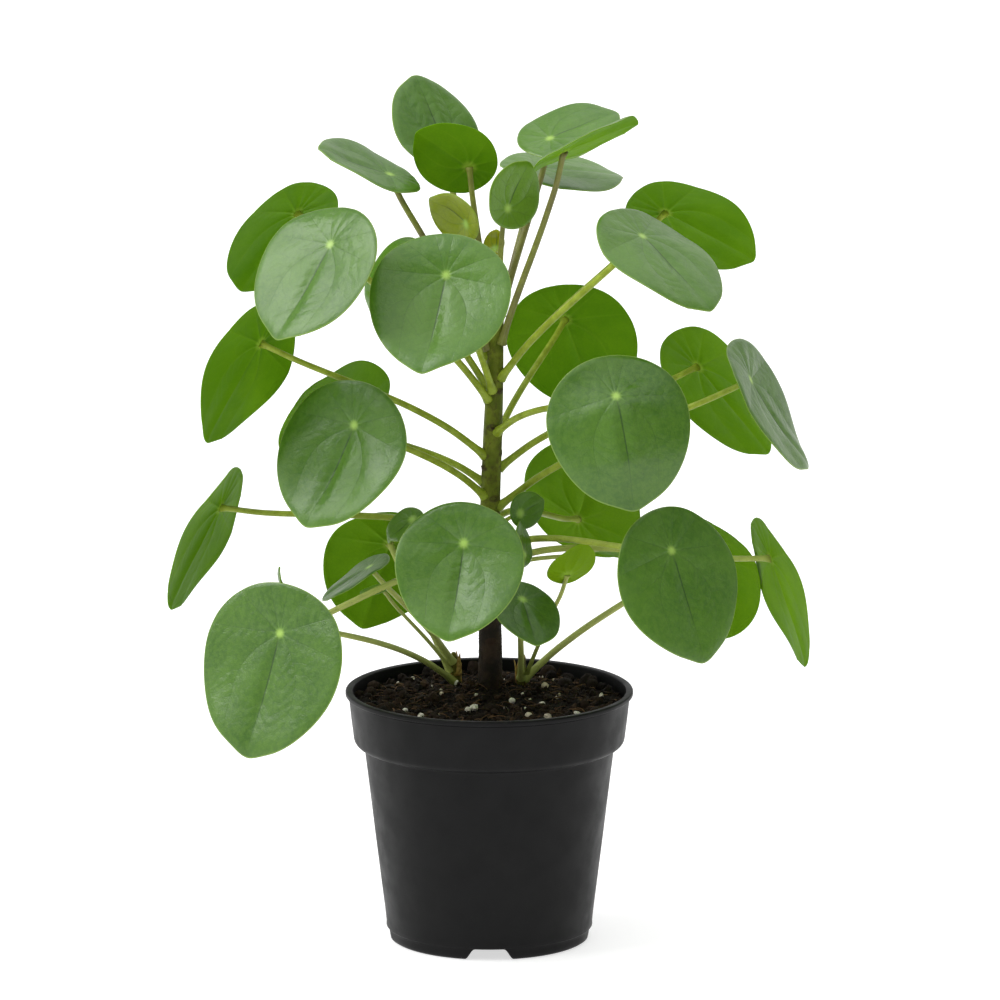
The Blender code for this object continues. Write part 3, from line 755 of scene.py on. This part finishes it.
def scar_field(turn, height, first, last, spacing, radius):
    """Three masks of the leaf scars, which climb the stem by the golden angle: the oval
    exp(-q^2), the ring round it exp(-6 (q - 1)^2) and, on each third one, a small stub. q
    is the square of the distance from the middle, in half widths and half heights."""
    count = int((last - first) / spacing)
    number = np.arange(count)
    at_height = first + number * spacing * (1 - 0.25 * number / max(count, 1))
    at_turn = number * 2.39996
    sideways = (turn[..., None] - at_turn + math.pi) % (2 * math.pi) - math.pi
    across = sideways * radius / (2.1 * MM)
    along = (height[..., None] - at_height) / (1.25 * MM)
    apart = across**2 + along**2
    stub = np.exp(-(across**2 + (along - 0.5) ** 2) * 5) * (number % 3 == 0)
    return np.exp(-(apart**2)).max(-1), np.exp(-((apart - 1) ** 2) * 6).max(-1), stub.max(-1)


def build_stem(name, material, columns, rough_until, first_scar, scars):
    """A tube along the CAD stem. Its radius is the CAD one, less 0.15 mm, plus ridges
    (sines of the turn that lean with the height), cracks (products of sines, only where
    it is woody), and the ovals and stubs of the scars."""
    middles, radii = stations_of(name)
    rows = int((middles[-1, 2] - middles[0, 2]) / STEM_STEP)
    height = np.linspace(middles[0, 2], middles[-1, 2], rows)
    bend = smooth_line(middles[:-1], 200)
    x, y = (np.interp(height, bend[:, 2], bend[:, k]) for k in (0, 1))
    radius = np.interp(height, middles[:, 2], radii)
    turn = turns(columns)[None, :]
    tall = height[:, None] + 0 * turn
    wood = np.clip((rough_until - tall) / BARK_FADE, 0, 1)
    ridges = 0.10 * np.sin(5 * turn + tall * 90) + 0.07 * np.sin(9 * turn - tall * 210)
    cracks = np.sin(17 * turn + 3 * np.sin(tall * 800)) * np.sin(tall * 2600 + 4 * np.sin(3 * turn))
    cracks += 0.7 * np.sin(29 * turn - tall * 1500) * np.sin(tall * 4100 + 2 * np.sin(7 * turn))
    last_scar = middles[-2, 2]
    oval, ring, stub = scar_field(turn + 0 * tall, tall, first_scar, last_scar, scars, radius.mean())
    thick = np.where(radius > 2.6 * MM, 1, 0.5)[:, None]
    swell = (0.14 * wood * cracks + 0.5 * ridges + (0.28 * oval + 0.8 * stub) * thick) * MM
    wide = np.maximum(radius[:, None] + swell - 0.15 * MM, 0.3 * MM)
    rings = np.stack([x[:, None] + wide * np.cos(turn), y[:, None] + wide * np.sin(turn), tall], -1)
    shape = capped(rings, poles=np.stack([x, y, height], -1)[[0, -1]])
    fields = {
        "wood": np.append(wood, [1, 0]),
        "scar": np.append(ring, [0, 0]),
        "spot": np.append(np.maximum(oval, stub), [0, 0]),
    }
    print(f"{name}: {rows} rings from {height[0] / MM:.0f} to {height[-1] / MM:.0f} mm")
    return seat(new_piece(f"{name}_bark", *shape, [material], fields=fields), name)


# %% Bark finish
def bark_finish(name, green_dark, green_light):
    """Streaky green that turns to brown wood, with dark scars and pale flakes."""
    chain = Chain(name)
    patch = chain.grain(140.0, 0.3, 0.7, 4.0)
    brown = chain.mix(patch, (0.007, 0.0045, 0.0022), (0.040, 0.023, 0.012))
    streak = chain.grain(260.0, 0.46, 0.66, 4.0, 0.7)
    green = chain.layers(chain.mix(patch, green_dark, green_light), (streak, 0.55, (0.052, 0.030, 0.009)))
    woody = chain.sum("MULTIPLY_ADD", patch, 0.2, chain.field("wood"), clamp=True)
    rust = chain.grain(600.0, 0.35, 0.6, to_low=0.45, to_high=1.0)
    colour = chain.layers(
        chain.mix(woody, green, brown),
        (chain.field("scar"), 0.6, (0.045, 0.024, 0.009)),
        (chain.field("spot"), rust, (0.026, 0.010, 0.0035)),
        (chain.grain(900.0, 0.58, 0.75, 4.0), 0.25, (0.110, 0.080, 0.045)),
    )
    return chain.finish(colour, 0.62, 0.22, chain.noise(800.0, 6.0, 0.7), 0.40 * MM)


bark = bark_finish("stem bark", (0.085, 0.112, 0.003), (0.200, 0.240, 0.016))
young_bark = bark_finish("shoot bark", (0.120, 0.110, 0.006), (0.200, 0.190, 0.018))
build_stem("main_stem", bark, 96, 0.176, 0.108, 9 * MM)
for shoot in ("left_shoot", "right_shoot"):
    build_stem(shoot, young_bark, 48, 0.108, 0.102, 5 * MM)


# %% Papery sheaths at the foot of the shoots' leaf stalks
def build_sheaths(name, count, material):
    """Thin pointed scales round a shoot: tubes whose radius falls from its widest to
    nothing as (1 - t)^0.8, flattened, and each bent outwards as it climbs."""
    middles, radii = stations_of(name)
    t = np.linspace(0, 1, 8)[:, None]
    scales, start = [], 0
    for number in range(count):
        turn = 2.4 * number + 0.6
        out = np.array([math.cos(turn), math.sin(turn), 0.0])
        foot = middles[1] + out * radii[1] * 0.5 + [0, 0, number * 1.6 * MM]
        path = foot + out * (0.3 + 1.3 * t**2) * MM + [0, 0, 1] * t * (8.0 + number % 3) * MM
        rings = tube(path, 2.1 * (1.02 - t) ** 0.8 * MM, 8)
        squeeze = ((rings - path[:, None]) @ out)[..., None] * out
        scales.append(capped(rings - 0.6 * squeeze, start))
        start += len(scales[-1][0])
    shape = [np.concatenate(arrays) for arrays in zip(*scales)]
    return seat(new_piece(f"{name}_sheaths", *shape, [material]))


def sheath_finish():
    chain = Chain("papery sheath")
    fibres = chain.grain(700.0, 0.35, 0.65, 4.0)
    colour = chain.mix(fibres, (0.330, 0.190, 0.035), (0.560, 0.390, 0.120))
    return chain.finish(colour, 0.6, 0.25, chain.noise(900.0), 0.15 * MM)


sheath = sheath_finish()
for shoot in ("left_shoot", "right_shoot"):
    build_sheaths(shoot, 4, sheath)
print("two shoots with four sheaths each")


# %% [markdown]
# ## The nursery pot
#
# The pot is thin black plastic, moulded in one piece: a tapered body, a wider band round
# the top with a rolled lip, and a short foot with four notches that let water run out. It
# is a profile turned round the axis. The notches are made by squeezing the foot upwards
# where they are, and the four drain holes are cut through the floor.

# %% Profile of the pot
pot_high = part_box("nursery_pot")[1]
RIM, TALL = pot_high.x, pot_high.z
print(f"pot {2 * RIM / MM:.0f} mm wide and {TALL / MM:.0f} mm high")


def arc(x, y, radius, start, end, steps=5):
    """Points of an arc round (x, y), from one angle to another in degrees."""
    angle = np.radians(np.linspace(start, end, steps))
    return np.stack([x + radius * np.cos(angle), y + radius * np.sin(angle)], -1)


def pot_profile():
    """Radius and height in mm, from the middle of the outside floor, out under the foot,
    up the body and the band, over the lip and down the inside to the middle again."""
    rim, tall = RIM / MM, TALL / MM
    spans = [
        [(6.0, 5.0), (18.0, 5.0), (30.0, 5.0), (36.0, 5.0)],
        arc(37.8, 4.5, 0.5, 90, 0), arc(38.9, 0.6, 0.6, 180, 270), arc(40.1, 2.2, 2.2, 270, 360),
        [(42.3, 3.6), (42.3, 4.6)],
        arc(42.75, 5.6, 0.4, 270, 350, 3),
        [(43.1, 7.2), (43.6, 12.0), (45.6, 28.0), (47.7, 45.0), (49.6, 61.0), (51.2, 74.0)],
        [(52.05, 80.9), (52.15, 81.7), (52.25, 82.2), (52.6, 82.65)],
        arc(53.2, 86.2, 3.4, 280, 352, 6),
        [(56.9, 88.5), (57.6, 94.0), (58.2, 99.5), (58.5, tall - 3.8), (58.6, tall - 2.9)],
        arc(59.0, tall - 2.3, 0.4, 200, 110, 3)[::-1],
        arc(rim - 0.7, tall - 1.5, 0.7, 300, 360, 4), arc(rim - 0.7, tall - 0.7, 0.7, 0, 90, 5),
        [(58.4, tall)], arc(57.6, tall - 0.7, 0.6, 80, 180, 5),
        [(56.7, 99.0), (56.1, 94.0), (55.3, 88.5)],
        [(54.2, 86.4), (51.2, 83.6), (50.7, 82.6), (49.6, 74.0), (46.2, 45.0), (43.0, 18.0)],
        arc(39.6, 8.6, 2.1, 0, -90, 5),
        [(30.0, 6.5), (18.0, 6.5), (6.0, 6.5)],
    ]
    return np.concatenate([np.array(span, float).reshape(-1, 2) for span in spans])


# %% Turn the profile and cut the holes
NOTCH_HEIGHT, NOTCH_LOW, NOTCH_HIGH = 4.7, 10.2, 6.0  # mm: height, half widths low and high
DRAIN_RADIUS, DRAIN_CIRCLE = 4.5, 27.0  # mm: a hole, and the circle that the holes stand on
FOOT_TOP, FOOT_INSIDE = 5.0, 36.5  # mm: the foot is below this height, outside this radius
POT_COLUMNS = 360


def notch_lift(turn, radius):
    """Height of the notch's edge at an angle: full over its middle, falling along an
    S-curve to nothing at its foot. There are four, a quarter turn apart, from the front."""
    quarter = (turn + math.pi / 4) % (math.pi / 2) - math.pi / 4
    aside = np.abs(quarter) * radius
    return NOTCH_HEIGHT * s_curve((NOTCH_LOW - aside) / (NOTCH_LOW - NOTCH_HIGH))


def build_pot(material):
    """The profile turned round the axis. Under a notch each height h of the foot becomes
    lift + h x (1 - lift / 5), which squeezes the foot upwards."""
    profile = pot_profile()
    turn = turns(POT_COLUMNS)[None, :]
    radius, height = profile[:, :1] + 0 * turn, profile[:, 1:] + 0 * turn
    lift = notch_lift(turn, radius)
    foot = (height < FOOT_TOP) & (radius > FOOT_INSIDE)
    height = np.where(foot, lift + height * (1 - lift / FOOT_TOP), height)
    rings = np.stack([radius * np.cos(turn), radius * np.sin(turn), height], -1) * MM
    pot = new_piece("nursery_pot_shell", *capped(rings), [material])
    drill_pot(pot)
    return seat(pot, "nursery_pot")


def drill_pot(pot):
    """Cut four round holes through the floor, with closed cylinders that are then removed."""
    ring = turns(32)
    for angle in turns(4):
        x = DRAIN_CIRCLE * math.sin(angle) + DRAIN_RADIUS * np.cos(ring)
        y = -DRAIN_CIRCLE * math.cos(angle) + DRAIN_RADIUS * np.sin(ring)
        rings = np.stack([np.stack([x, y, 0 * x + z], -1) for z in (3.0, 9.0)]) * MM
        cutter = new_piece("drill", *capped(rings), [])
        hole = pot.modifiers.new("hole", "BOOLEAN")
        hole.operation, hole.solver, hole.object = "DIFFERENCE", "EXACT", cutter
        settle(pot)
        bpy.data.objects.remove(cutter)


def settle(piece):
    """Replace the piece's mesh by what its modifiers make of it, and drop them."""
    bpy.context.view_layer.update()
    shape = piece.evaluated_get(bpy.context.evaluated_depsgraph_get())
    made = bpy.data.meshes.new_from_object(shape)
    piece.modifiers.clear()
    piece.data = made


# %% Black plastic
def plastic_finish():
    """Black, a little dusty, with pale specks and the fine grain of the mould."""
    chain = Chain("black pot plastic")
    colour = chain.layers(
        (0.0030, 0.0030, 0.0032),
        (chain.grain(35.0, 0.45, 0.8, 5.0), 0.5, (0.0065, 0.0063, 0.0060)),
        (chain.grain(1400.0, 0.70, 0.78, 2.0), 0.25, (0.04, 0.037, 0.033)),
    )
    rough = chain.grain(90.0, 0.3, 0.7, 5.0, to_low=0.42, to_high=0.54)
    return chain.finish(colour, rough, 0.16, chain.noise(2600.0, 2.0), 0.02 * MM)


build_pot(plastic_finish())


# %% [markdown]
# ## Soil
#
# Potting mix is dark peat with bark chips, fibres and white grains of perlite. The
# ground is a polar grid that follows the CAD soil and adds crumbs as noise. The loose
# bits are made all at once: one small shape, copied many times by an array of places,
# turns and stretches, so a thousand bits are one mesh.

# %% The ground
soil_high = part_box("potting_soil")[1]
SOIL_RADIUS = soil_high.x
soil_points, _ = joined_mesh("potting_soil")
at_wall = np.hypot(soil_points[:, 0], soil_points[:, 1]) > SOIL_RADIUS - 0.5 * MM
SOIL_EDGE = soil_points[at_wall, 2].max()  # height of the ground along the wall
stem_foot = stations_of("main_stem")[0][0]
CRUMBS = ((900, 0.45), (1700, 0.32), (3100, 0.22), (5200, 0.14))  # waves per metre, size in mm
print(f"soil {2 * SOIL_RADIUS / MM:.0f} mm wide, {SOIL_EDGE / MM:.0f} mm up at the wall")


def crumbs(x, y):
    """Lumps of several sizes: sums of sines whose directions and waves don't repeat."""
    total = 0 * x
    for number, (wave, size) in enumerate(CRUMBS):
        turn = 1.3 + 2.4 * number
        u = wave * (x * math.cos(turn) + y * math.sin(turn))
        v = wave * (y * math.cos(turn) - x * math.sin(turn))
        total = total + size * np.sin(u + 2 * np.sin(0.7 * v)) * np.sin(v + 1.7 * np.sin(0.6 * u))
    return total * MM


def soil_height(x, y):
    """Level at the wall and heaped round the stem, as the CAD soil is, with crumbs."""
    away = np.hypot(x - stem_foot[0], y - stem_foot[1])
    heap = (soil_high.z - SOIL_EDGE) * np.exp(-((away / (19 * MM)) ** 2))
    return SOIL_EDGE + heap * 0.86 + crumbs(x, y) - 0.4 * MM


def build_soil(material):
    """Rings of ground from the wall to the axis, with one more below them for the side."""
    turn = turns(192)[None, :]
    share = np.linspace(1, 0, 71)[:-1, None]
    x, y = SOIL_RADIUS * share * np.cos(turn), SOIL_RADIUS * share * np.sin(turn)
    top = np.stack([x, y, soil_height(x, y)], -1)
    side = (top[:1] - [0, 0, 9 * MM]) * [0.975, 0.975, 1]
    poles = [[0, 0, side[0, 0, 2]], [0, 0, soil_height(0.0, 0.0)]]
    shape = capped(np.concatenate([side, top]), poles=poles)
    return seat(new_piece("soil_ground", *shape, [material]), "potting_soil")


def soil_finish():
    chain = Chain("potting mix")
    colour = chain.layers(
        (0.0020, 0.0013, 0.0010),
        (chain.grain(420.0, 0.3, 0.7, 5.0, 0.7), 1.0, (0.015, 0.0085, 0.005)),
        (chain.grain(1300.0, 0.6, 0.7), 0.5, (0.055, 0.031, 0.016)),
    )
    return chain.finish(colour, 0.92, 0.2, chain.noise(1500.0, 6.0, 0.75), 0.8 * MM)


build_soil(soil_finish())


# %% Loose lumps on the ground
def lump(fineness):
    """A ball of triangles, as points and faces: 20 faces at fineness 1, 80 at 2."""
    ball = bmesh.new()
    bmesh.ops.create_icosphere(ball, subdivisions=fineness, radius=1.0)
    points = np.array([v.co for v in ball.verts])
    faces = np.array([[v.index for v in f.verts] for f in ball.faces])
    ball.free()
    return points, faces


def on_ground(random, count, reach):
    """Places spread evenly over the ring of ground between two shares of its radius."""
    away = np.sqrt(random.uniform(reach[0] ** 2, reach[1] ** 2, count)) * (SOIL_RADIUS - 1.2 * MM)
    at = random.uniform(0, 2 * math.pi, count)
    return away * np.cos(at), away * np.sin(at)


def inside_pot(points):
    """The points, those past the wall drawn back towards the axis."""
    far = np.hypot(points[:, 0], points[:, 1])
    points[:, :2] *= np.minimum(1, (SOIL_RADIUS - 0.1 * MM) / np.maximum(far, 1e-6))[:, None]
    return points


def as_soil(name, points, quads, triangles, material, shade):
    """A flat-shaded piece of loose bits, with a shade between 0 and 1 for each point."""
    fields = {"shade": shade}
    points = inside_pot(points)
    bits = new_piece(name, points, quads, triangles, [material], fields=fields, smooth=False)
    print(f"{name}: {len(quads) + len(triangles)} faces")
    return seat(bits)


def scatter(name, count, size, stretch, lift, material, seed, fineness=1, reach=(0.06, 1.0), skew=1):
    """count lumps as one mesh. Each is a ball whose radius is 1 + 0.24 sin(1.6 a.p + k) +
    0.14 sin(3.4 b.p + m), stretched along its own axes, leant, turned and set down."""
    random = np.random.default_rng(seed)
    ball, faces = lump(fineness)
    a, b = random.normal(0, 1, (2, count, 3))
    k, m = random.uniform(0, 2 * math.pi, (2, count, 1))
    grow = 1 + 0.24 * np.sin(1.6 * a @ ball.T + k) + 0.14 * np.sin(3.4 * b @ ball.T + m)
    scale = (size[0] + (size[1] - size[0]) * random.uniform(0, 1, (count, 1)) ** skew) * MM
    points = ball * grow[..., None] * (scale * random.uniform(*stretch, (count, 3)))[:, None]
    turn = random.uniform(0, 2 * math.pi, (count, 1))
    lean = random.normal(0, 0.35, (count, 1))
    x, y, z = np.moveaxis(points, -1, 0)
    x, z = x * np.cos(lean) + z * np.sin(lean), z * np.cos(lean) - x * np.sin(lean)
    x, y = x * np.cos(turn) - y * np.sin(turn), x * np.sin(turn) + y * np.cos(turn)
    east, north = on_ground(random, count, reach)
    ground = np.stack([east, north, soil_height(east, north) + lift * scale[:, 0]], -1)
    points = (np.stack([x, y, z], -1) + ground[:, None]).reshape(-1, 3)
    faces = (faces + len(ball) * np.arange(count)[:, None, None]).reshape(-1, 3)
    shade = np.repeat(random.uniform(0, 1, count), len(ball))
    return as_soil(name, points, np.empty((0, 4), int), faces, material, shade)


# %% Strands of peat
def strands(name, count, length, radius, lift, material, seed):
    """count thin bent strands as one mesh: each is a parabola of six rings of four points,
    laid on the ground in its own direction, thinner towards its ends."""
    random = np.random.default_rng(seed)
    east, north = on_ground(random, count, (0.06, 0.97))
    height = soil_height(east, north) + random.uniform(*lift, count) * MM
    middle = np.stack([east, north, height], -1)
    turn = random.uniform(0, 2 * math.pi, count)
    ahead = np.stack([np.cos(turn), np.sin(turn), random.normal(0, 0.25, count)], -1)
    aside = np.stack([-np.sin(turn), np.cos(turn), 0 * turn], -1)
    t = np.linspace(-1, 1, 6)[None, :, None]
    half = random.uniform(*length, (count, 1, 1)) * MM / 2
    sag = aside * random.normal(0, 0.4, (count, 1)) - [0, 0, 0.25]
    path = middle[:, None] + half * (ahead[:, None] * t + sag[:, None] * t**2)
    thick = random.uniform(*radius, (count, 1, 1)) * MM * (1 - 0.6 * t**2)
    side, up = aside[:, None], np.array([0, 0, 1.0])
    points = np.stack([path + thick * way for way in (side, up, -side, -up)], 2).reshape(-1, 3)
    one = np.concatenate([grid_faces(6, 4), [[3, 2, 1, 0], [20, 21, 22, 23]]])
    quads = (one[None] + 24 * np.arange(count)[:, None, None]).reshape(-1, 4)
    shade = np.repeat(random.uniform(0, 1, count), 24)
    return as_soil(name, points, quads, np.empty((0, 3), int), material, shade)


def bits_finish(name, dark, light, rough):
    """Each bit has its own shade between dark and light, and dark grit all over."""
    chain = Chain(name)
    shade = chain.mix(chain.field("shade"), dark, light)
    colour = chain.layers(shade, (chain.grain(1600.0, 0.3, 0.75), 0.4, dark))
    return chain.finish(colour, rough, 0.25, chain.noise(2200.0, 4.0), 0.25 * MM)


peat = bits_finish("peat crumbs", (0.0022, 0.0013, 0.0009), (0.034, 0.018, 0.009), 0.92)
chips = bits_finish("bark chips", (0.010, 0.0055, 0.003), (0.075, 0.040, 0.018), 0.8)
fibre = bits_finish("peat fibres", (0.028, 0.015, 0.007), (0.190, 0.105, 0.048), 0.7)
perlite = bits_finish("perlite grains", (0.66, 0.56, 0.42), (0.95, 0.94, 0.90), 0.85)
scatter("soil_crumbs", 1500, (0.4, 1.5), (0.6, 1.2), 0.2, peat, 1)
scatter("soil_clumps", 90, (1.4, 2.9), (0.6, 1.2), 0.15, peat, 5, fineness=2, reach=(0.3, 1.0))
scatter("soil_edge_clumps", 46, (1.8, 3.3), (0.7, 1.2), 0.45, peat, 7, fineness=2, reach=(0.90, 1.0))
scatter("soil_chips", 130, (0.8, 2.0), (0.35, 1.4), 0.35, chips, 3)
scatter("soil_perlite", 62, (0.45, 2.0), (0.75, 1.15), 0.55, perlite, 4, fineness=2, skew=2.5)
strands("soil_fibres", 420, (3.0, 11.0), (0.12, 0.30), (0.2, 1.6), fibre, 2)


# %% [markdown]
# ## Floor, light and camera
#
# The pot stands on a wide pale floor. One large soft light stands to the left, one hangs
# overhead and a weaker one stands behind, to the right. The surroundings are pale walls,
# brighter low down, to the left and behind, and they fill the shadows. The camera is far
# away with a long lens, a little above the plant, as in a catalogue picture.

# %% Floor
def build_floor():
    """A square of 60 m, a hair below the pot's foot. It glows a little, so it stays pale."""
    chain = Chain("pale floor")
    chain.finish((0.56, 0.56, 0.56), 0.8, 0.1, Emission_Color=(1.0, 1.0, 1.0), Emission_Strength=0.64)
    corners = np.array([[-30, -30, 0], [30, -30, 0], [30, 30, 0], [-30, 30, 0]]) - [0, 0, 0.05 * MM]
    square, nothing = np.array([[0, 1, 2, 3]]), np.empty((0, 3), int)
    floor = new_piece("floor", corners, square, nothing, [chain.material])
    return floor


build_floor()


# %% Soft studio light
def soft_light(name, azimuth, elevation, spread, strength):
    """A broad soft lamp, the same over the whole floor: it comes from an azimuth (0 is the
    front, 90 the right) and an elevation, from a patch that is spread degrees across."""
    lamp = bpy.data.lights.new(name, "SUN")
    lamp.energy, lamp.angle = strength, math.radians(spread)
    made = bpy.data.objects.new(name, lamp)
    turn, rise = math.radians(azimuth), math.radians(elevation)
    towards = Vector((math.sin(turn) * math.cos(rise), -math.cos(turn) * math.cos(rise), math.sin(rise)))
    made.rotation_euler = towards.to_track_quat("Z", "Y").to_euler()
    made.location = towards * 2
    bpy.context.scene.collection.objects.link(made)
    return made


soft_light("left softbox", -82, 44, 42, 2.15)
soft_light("overhead softbox", 10, 76, 80, 1.5)
soft_light("back softbox", 155, 48, 60, 0.65)

world = bpy.data.worlds.new("studio")
bpy.context.scene.world = world
world.use_nodes = True
walls = Chain("walls", world.node_tree)
towards = walls.node("ShaderNodeTexCoord").outputs["Generated"]


def wall_light(direction, low, high, dim, bright):
    """Strength that goes smoothly from dim to bright as the view direction's part along
    the given direction goes from low to high."""
    along = walls.node("ShaderNodeVectorMath", {0: towards, 1: direction}, operation="DOT_PRODUCT")
    return walls.between(along.outputs["Value"], low, high, dim, bright)


ceiling = wall_light((0, 0, 1), 0.0, 0.55, 0.95, 0.40)
left = wall_light((-0.8, 0.6, 0), -0.8, 0.3, 0.35, 1.1)
background = walls.tree.nodes["Background"]
walls.join(walls.times(ceiling, left), background.inputs["Strength"])
walls.join((1.0, 1.0, 1.0), background.inputs["Color"])
bpy.context.scene.view_settings.view_transform = "Standard"
bpy.context.scene.view_settings.look = "None"
print("studio: three soft lamps, pale walls to the left and behind, a darker ceiling")


# %% Camera
TARGET = Vector((0.00445, 0.0, 0.1866))
DISTANCE = 4.0
ELEVATION = math.radians(12)
lens = bpy.data.cameras.new("camera")
lens.lens, lens.sensor_width, lens.clip_end = 346.8, 36.0, 100.0
camera = bpy.data.objects.new("camera", lens)
camera.location = TARGET + DISTANCE * Vector((0, -math.cos(ELEVATION), math.sin(ELEVATION)))
camera.rotation_euler = (TARGET - camera.location).to_track_quat("-Z", "Y").to_euler()
bpy.context.scene.collection.objects.link(camera)
bpy.context.scene.camera = camera
print(f"camera at {tuple(round(v, 3) for v in camera.location)}")


# %% [markdown]
# ## Measure
#
# The last cell prints the CAD model's box.

# %% The CAD box
print("CAD box   ", [[round(c / MM, 1) for c in v] for v in cad_box])
